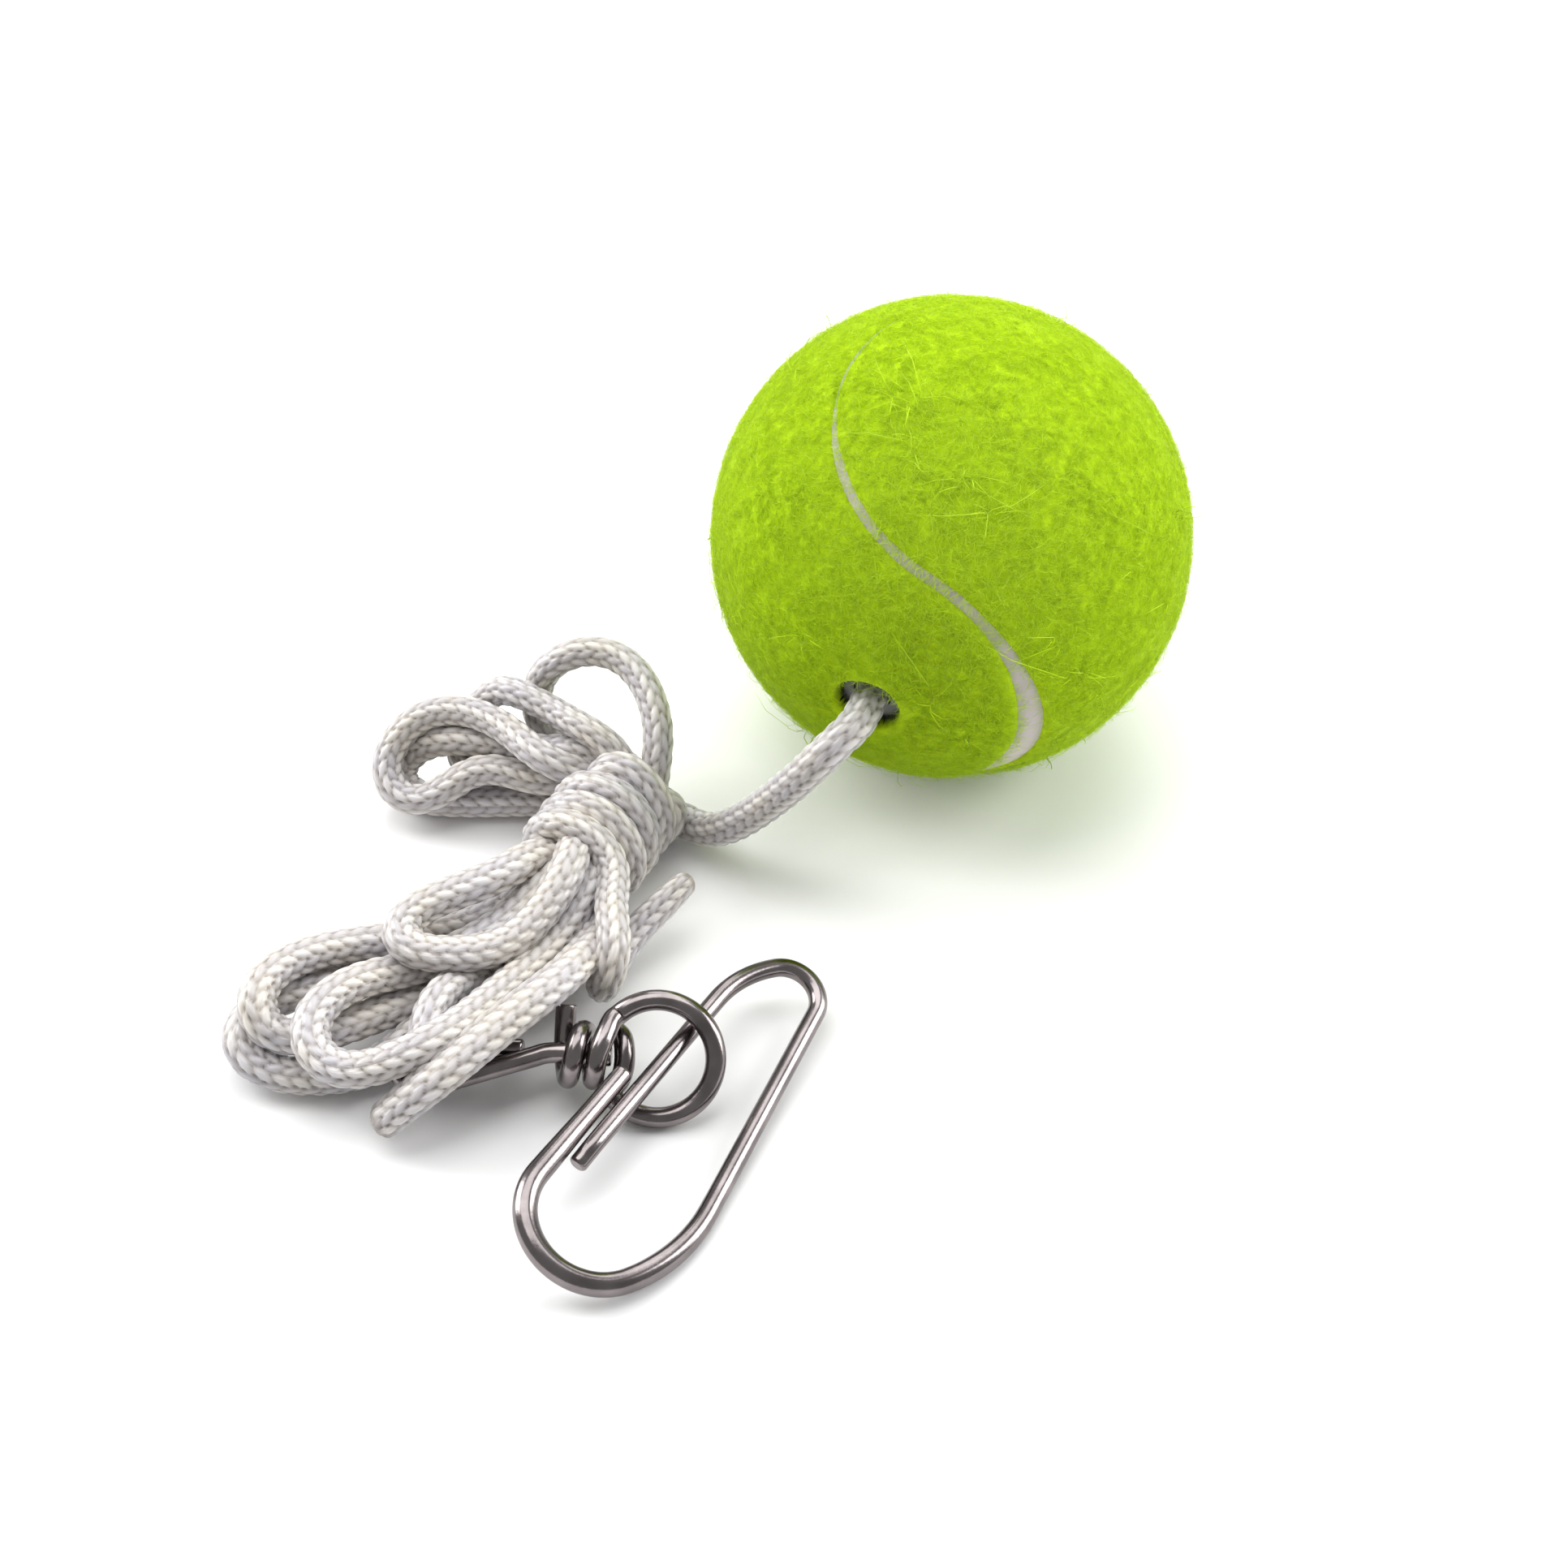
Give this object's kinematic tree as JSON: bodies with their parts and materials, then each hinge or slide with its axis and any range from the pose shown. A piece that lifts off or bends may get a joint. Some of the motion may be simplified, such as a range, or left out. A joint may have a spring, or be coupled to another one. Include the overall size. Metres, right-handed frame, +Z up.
{
  "type": "tetherball set",
  "caption": "Felt-covered ball on a braided cord, the cord stored in a tied hank, with a wire swivel and spring snap hook at its end.",
  "frame": {"origin": "on the ground, below the middle of the box round the ball and the clip together", "axes": "+X to the right, from the hank to the ball; +Y away from the snap hook, towards the ball; +Z up from the ground"},
  "size_m": [0.125, 0.1386, 0.066],
  "materials": {
    "felt": "woolly felt, optic yellow",
    "seam": "matte grey rubber",
    "core": "matte grey rubber",
    "cord": "solid braid, glossy white filament",
    "wire": "plated steel wire, satin"
  },
  "bodies": {
    "cord": {"stopper_knot": "cord", "cord_lead": "cord", "hank_upper": "cord", "hank_arch": "cord", "hank_waist": "cord", "hank_lower": "cord", "eye_hitch": "cord", "tie_tail": "cord", "tie_end": "cord", "swivel_eye": "wire"},
    "ball": {"core_half_a": "core", "core_half_b": "core", "felt_panel_a": "felt", "felt_panel_b": "felt", "seam_rubber": "seam"},
    "swivel": {"swivel_ring": "wire"},
    "hook": {"hook_bow": "wire"},
    "gate": {"hook_gate": "wire"}
  },
  "joints": [
    {"name": "ball_spin", "type": "hinge", "parent": "cord", "child": "ball", "pos_m": [0.021, 0.036, 0.033], "axis": [-0.3783, -0.9179, -0.1201], "continuous": true},
    {"name": "swivel_turn", "type": "hinge", "parent": "cord", "child": "swivel", "pos_m": [-0.0182, -0.0353, 0.0066], "axis": [-0.9976, 0.0698, 0], "range_deg": [0, 115]},
    {"name": "hook_swing", "type": "hinge", "parent": "swivel", "child": "hook", "pos_m": [-0.01714, -0.03617, 0.00732], "axis": [0.3039, -0.1899, 0.9336], "range_deg": [-3, 25]},
    {"name": "gate_flex", "type": "hinge", "parent": "hook", "child": "gate", "pos_m": [-0.00323, -0.01942, 0.0062], "axis": [0.3039, -0.1899, 0.9336], "range_deg": [0, 6], "stiffness_Nm_per_rad": 0.4, "springref_deg": -1.72}
  ]
}
